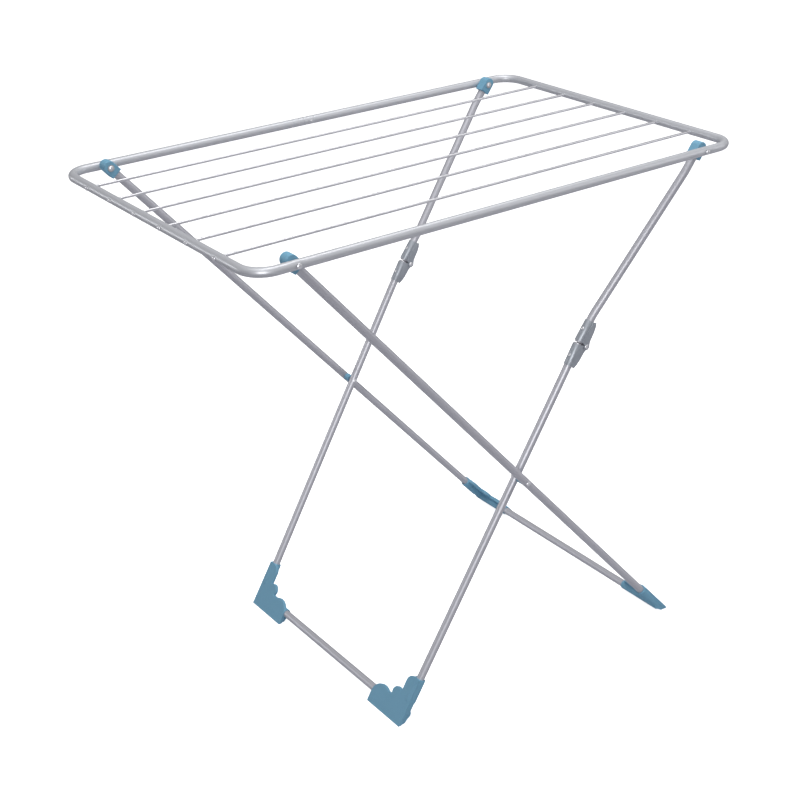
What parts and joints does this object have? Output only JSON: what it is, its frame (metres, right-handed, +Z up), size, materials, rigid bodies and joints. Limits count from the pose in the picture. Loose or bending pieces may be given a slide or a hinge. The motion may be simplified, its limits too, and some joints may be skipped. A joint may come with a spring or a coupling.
{
  "type": "clothes drying rack",
  "caption": "Folding clothes airer: a round-cornered tube frame with parallel rails on crossed tube legs, one pair hinged at the knee, with moulded corner feet and pivot caps.",
  "frame": {"origin": "on the floor, under the middle of the open rack", "axes": "+X along the rails towards the end that carries the hinged inner legs, -Y the front, +Z up"},
  "size_m": [1.0228, 0.644, 0.9954],
  "materials": {
    "frame_metal": "silver lacquer, glossy",
    "rail_metal": "bright drawn wire",
    "leg_metal": "silver lacquer, satin",
    "bracket_metal": "grey zinc, satin",
    "rivet_metal": "bright zinc",
    "blue_plastic": "moulded, satin",
    "nylon": "natural nylon"
  },
  "bodies": {
    "drying_frame": {"top_frame_tube": "frame_metal", "seam_sleeve": "rivet_metal", "seam_tack": "rivet_metal", "rail_1": "rail_metal", "rail_2": "rail_metal", "rail_3": "rail_metal", "rail_4": "rail_metal", "rail_5": "rail_metal", "rail_6": "rail_metal", "outer_pivot_rivet_front": "rivet_metal", "outer_pivot_rivet_back": "rivet_metal", "outer_pivot_washer_front": "nylon", "outer_pivot_washer_back": "nylon", "inner_pivot_rivet_front": "rivet_metal", "inner_pivot_rivet_back": "rivet_metal", "inner_pivot_washer_front": "nylon", "inner_pivot_washer_back": "nylon"},
    "outer_legs": {"outer_leg_front": "leg_metal", "outer_leg_back": "leg_metal", "outer_crossbar": "leg_metal", "outer_foot_front": "blue_plastic", "outer_foot_back": "blue_plastic", "outer_cap_front": "blue_plastic", "outer_cap_back": "blue_plastic", "crossing_spacer_front": "blue_plastic", "crossing_spacer_back": "blue_plastic", "crossing_rivet_outer_front": "rivet_metal", "crossing_rivet_outer_back": "rivet_metal"},
    "inner_upper_legs": {"inner_upper_leg_front": "leg_metal", "inner_upper_leg_back": "leg_metal", "inner_cap_front": "blue_plastic", "inner_cap_back": "blue_plastic", "knee_upper_bracket_front": "bracket_metal", "knee_upper_bracket_back": "bracket_metal", "knee_upper_tack_front": "rivet_metal", "knee_upper_tack_back": "rivet_metal", "knee_pin_front": "rivet_metal", "knee_pin_back": "rivet_metal"},
    "inner_lower_legs": {"inner_lower_leg_front": "leg_metal", "inner_lower_leg_back": "leg_metal", "inner_crossbar": "leg_metal", "inner_foot_front": "blue_plastic", "inner_foot_back": "blue_plastic", "knee_lower_bracket_front": "bracket_metal", "knee_lower_bracket_back": "bracket_metal", "knee_lower_tack_front": "rivet_metal", "knee_lower_tack_back": "rivet_metal", "knee_bush_front": "nylon", "knee_bush_back": "nylon", "crossing_rivet_inner_front": "rivet_metal", "crossing_rivet_inner_back": "rivet_metal"}
  },
  "joints": [
    {"name": "outer_leg_fold", "type": "hinge", "parent": "drying_frame", "child": "outer_legs", "pos_m": [-0.428, 0, 0.982], "axis": [0, -1, 0], "range_deg": [0, 43.5]},
    {"name": "inner_upper_fold", "type": "hinge", "parent": "drying_frame", "child": "inner_upper_legs", "pos_m": [0.428, 0, 0.982], "axis": [0, 1, 0], "range_deg": [0, 51.5]},
    {"name": "knee_fold", "type": "hinge", "parent": "inner_upper_legs", "child": "inner_lower_legs", "pos_m": [0.19744, 0, 0.6559], "axis": [0, -1, 0], "range_deg": [0, 165.9]}
  ],
  "couplings": [
    {"joint": "inner_upper_fold", "follows": "outer_leg_fold", "ratio": 1.1831},
    {"joint": "knee_fold", "follows": "outer_leg_fold", "ratio": 3.8116}
  ]
}
